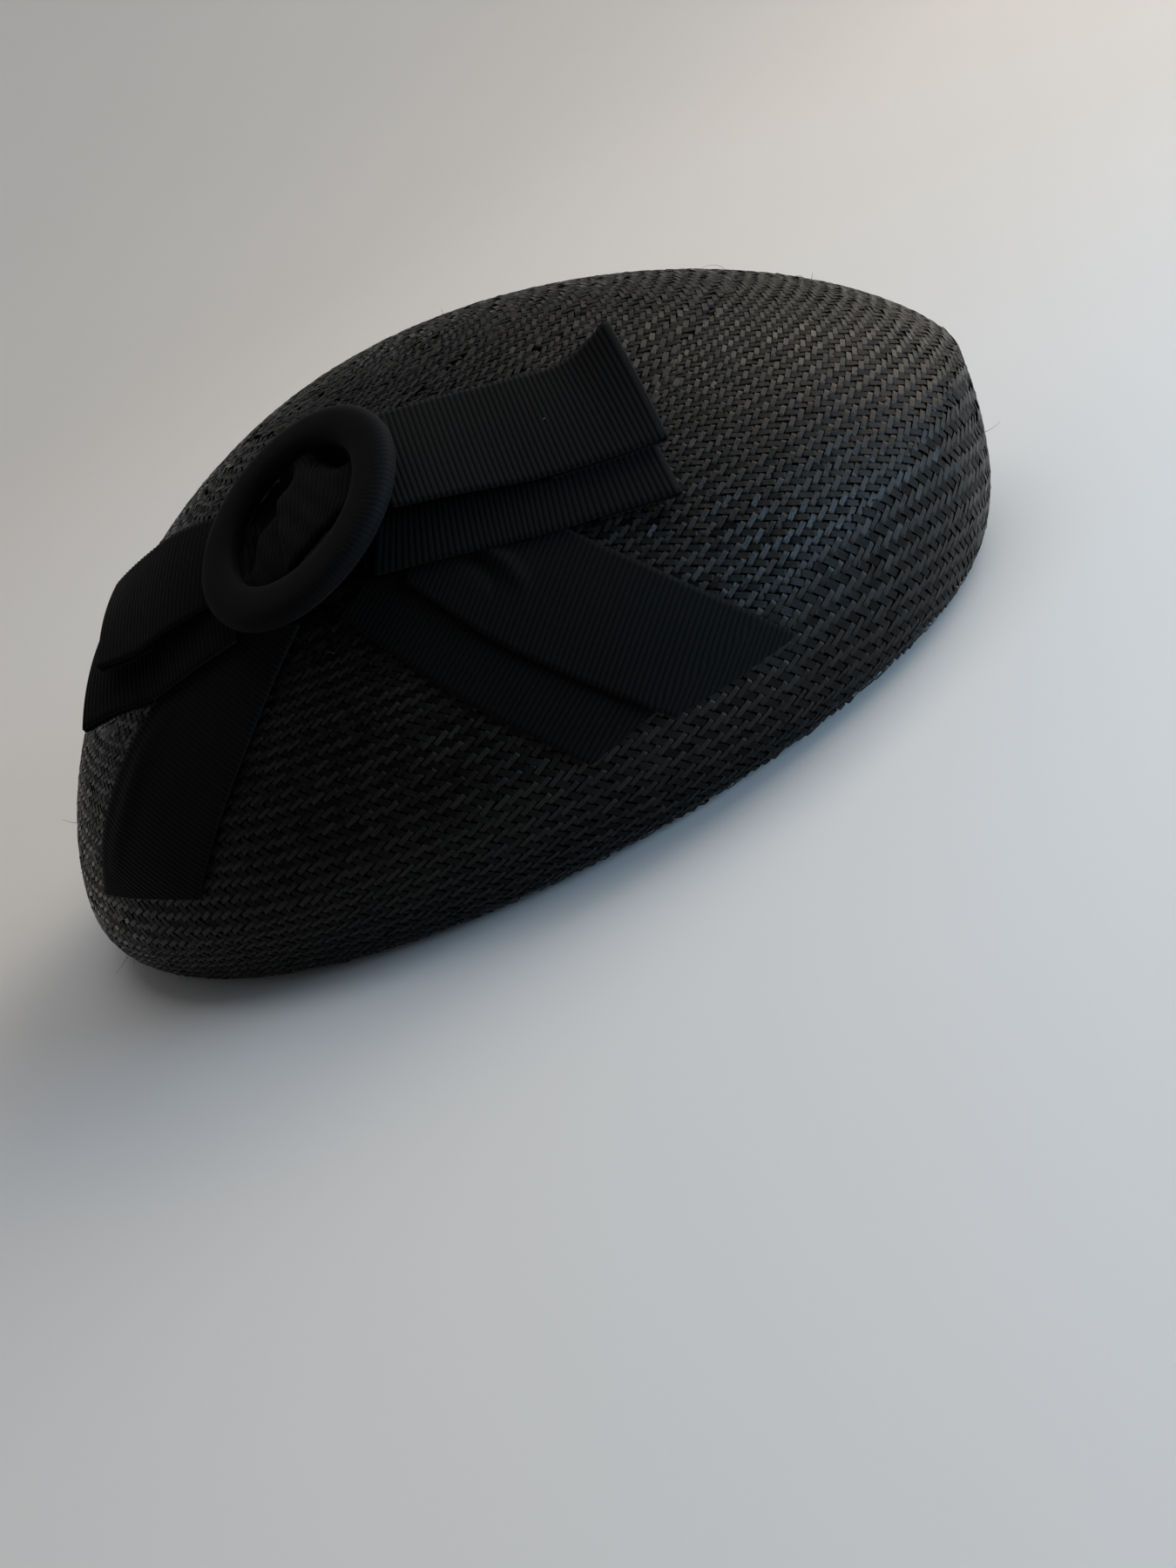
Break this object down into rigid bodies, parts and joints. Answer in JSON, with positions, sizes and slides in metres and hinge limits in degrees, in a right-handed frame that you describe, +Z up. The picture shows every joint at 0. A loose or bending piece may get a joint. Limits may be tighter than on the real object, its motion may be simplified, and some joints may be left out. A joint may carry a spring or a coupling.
{
  "type": "straw hat",
  "caption": "Shallow domed hat of woven straw with a rounded edge and turned-in rim, trimmed on one side with a flat grosgrain bow drawn through a cloth-covered ring.",
  "frame": {"origin": "middle of the oval rim, on the plane that the rim rests on", "axes": "+Z up through the crown, +X along the oval's long axis to the front, the bow on the -Y side"},
  "size_m": [0.3, 0.2357, 0.1252],
  "materials": {
    "straw": "satin woven straw",
    "ribbon": "matte ribbed grosgrain",
    "ring_cover": "matte cloth"
  },
  "bodies": {
    "root": {"straw_shell": "straw", "loop_right_upper": "ribbon", "loop_right_lower": "ribbon", "loop_left_upper": "ribbon", "loop_left_lower": "ribbon", "tail_right_upper": "ribbon", "tail_right_lower": "ribbon", "tail_left": "ribbon", "knot_ribbon": "ribbon", "buckle_ring": "ring_cover"}
  },
  "joints": []
}
